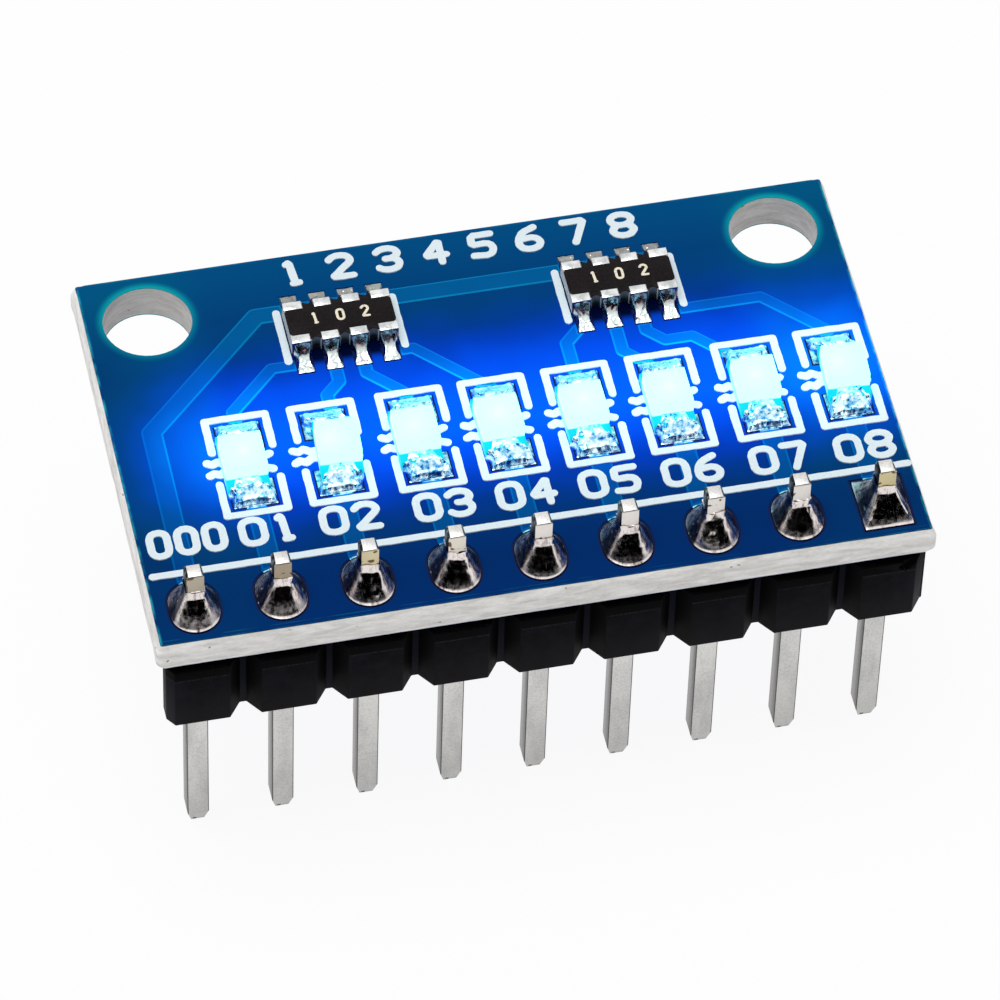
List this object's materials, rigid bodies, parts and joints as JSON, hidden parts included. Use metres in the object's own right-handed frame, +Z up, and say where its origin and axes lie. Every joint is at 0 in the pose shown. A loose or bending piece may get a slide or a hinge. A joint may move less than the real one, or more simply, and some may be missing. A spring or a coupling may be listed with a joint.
{
  "type": "led indicator module",
  "caption": "Small rectangular circuit board with a row of blue chip LEDs, resistor arrays, a pin header along one edge and mounting holes in the back corners.",
  "frame": {"origin": "middle of the pin row, on the header housing's underside, which is the face that seats on a host board", "axes": "+X along the pin row towards the pin with the square land, +Y from the pin row to the mounting holes, +Z up through the board to the LEDs"},
  "size_m": [0.023, 0.0142, 0.0115],
  "materials": {
    "laminate": "matte",
    "top_mask": "satin",
    "bottom_mask": "satin",
    "legend_ink": "matte",
    "copper_foil": "satin",
    "tinned_copper": "satin",
    "solder": "gloss",
    "pin_metal": "satin",
    "header_plastic": "matte",
    "led_laminate": "matte",
    "terminal_metal": "gloss",
    "led_lens": "satin",
    "led_die": "gloss",
    "array_ceramic": "matte",
    "array_glaze": "satin"
  },
  "bodies": {
    "root": {"board": "laminate", "top_solder_mask": "top_mask", "bottom_solder_mask": "bottom_mask", "legend": "legend_ink", "top_copper": "copper_foil", "pin_lands": "tinned_copper", "header_housing": "header_plastic", "led_dies": "led_die", "led_solder": "solder", "pin_1": "pin_metal", "pin_solder_1": "solder", "pin_2": "pin_metal", "pin_solder_2": "solder", "pin_3": "pin_metal", "pin_solder_3": "solder", "pin_4": "pin_metal", "pin_solder_4": "solder", "pin_5": "pin_metal", "pin_solder_5": "solder", "pin_6": "pin_metal", "pin_solder_6": "solder", "pin_7": "pin_metal", "pin_solder_7": "solder", "pin_8": "pin_metal", "pin_solder_8": "solder", "pin_9": "pin_metal", "pin_solder_9": "solder", "led_1_base": "led_laminate", "led_1_terminals": "terminal_metal", "led_1_lens": "led_lens", "led_2_base": "led_laminate", "led_2_terminals": "terminal_metal", "led_2_lens": "led_lens", "led_3_base": "led_laminate", "led_3_terminals": "terminal_metal", "led_3_lens": "led_lens", "led_4_base": "led_laminate", "led_4_terminals": "terminal_metal", "led_4_lens": "led_lens", "led_5_base": "led_laminate", "led_5_terminals": "terminal_metal", "led_5_lens": "led_lens", "led_6_base": "led_laminate", "led_6_terminals": "terminal_metal", "led_6_lens": "led_lens", "led_7_base": "led_laminate", "led_7_terminals": "terminal_metal", "led_7_lens": "led_lens", "led_8_base": "led_laminate", "led_8_terminals": "terminal_metal", "led_8_lens": "led_lens", "array_1_body": "array_ceramic", "array_1_glaze": "array_glaze", "array_1_terminals": "terminal_metal", "array_1_solder": "solder", "array_2_body": "array_ceramic", "array_2_glaze": "array_glaze", "array_2_terminals": "terminal_metal", "array_2_solder": "solder"}
  },
  "joints": []
}
